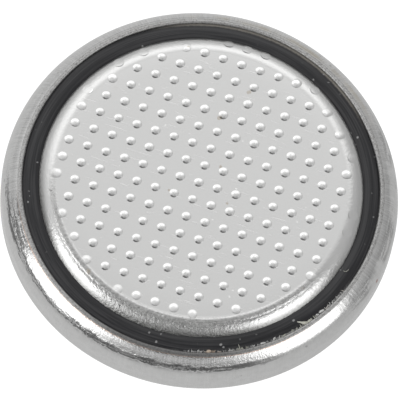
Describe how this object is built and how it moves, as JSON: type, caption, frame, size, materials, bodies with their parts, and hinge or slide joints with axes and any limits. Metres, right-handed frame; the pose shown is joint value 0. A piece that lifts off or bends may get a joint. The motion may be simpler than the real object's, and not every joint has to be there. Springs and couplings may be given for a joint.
{
  "type": "lithium coin cell",
  "caption": "Flat round battery: a steel can crimped over a dark gasket ring, a raised steel cap with square rows of small bumps, and a lithium and pellet stack sealed inside.",
  "frame": {"origin": "on the cell's axis, at the middle of the can's flat bottom, which it stands on", "axes": "+Z is the cell's axis and points out of the negative cap; +X and +Y run along the rows of bumps"},
  "size_m": [0.02, 0.02, 0.0032],
  "materials": {
    "positive_can": "nickel-plated steel, satin, with fine drawing lines and light wear",
    "negative_cap": "nickel-plated steel, fine satin, with a mottled shoulder",
    "gasket": "dark moulded plastic, streaked round the ring",
    "lithium_anode": "dull silvery soft metal",
    "separator": "matt off-white fibre",
    "cathode_pellet": "matt black pressed powder",
    "cathode_ring": "stainless sheet, satin"
  },
  "bodies": {
    "root": {"positive_can": "positive_can", "negative_cap": "negative_cap", "gasket": "gasket", "lithium_anode": "lithium_anode", "separator": "separator", "cathode_pellet": "cathode_pellet", "cathode_ring": "cathode_ring"}
  },
  "joints": []
}
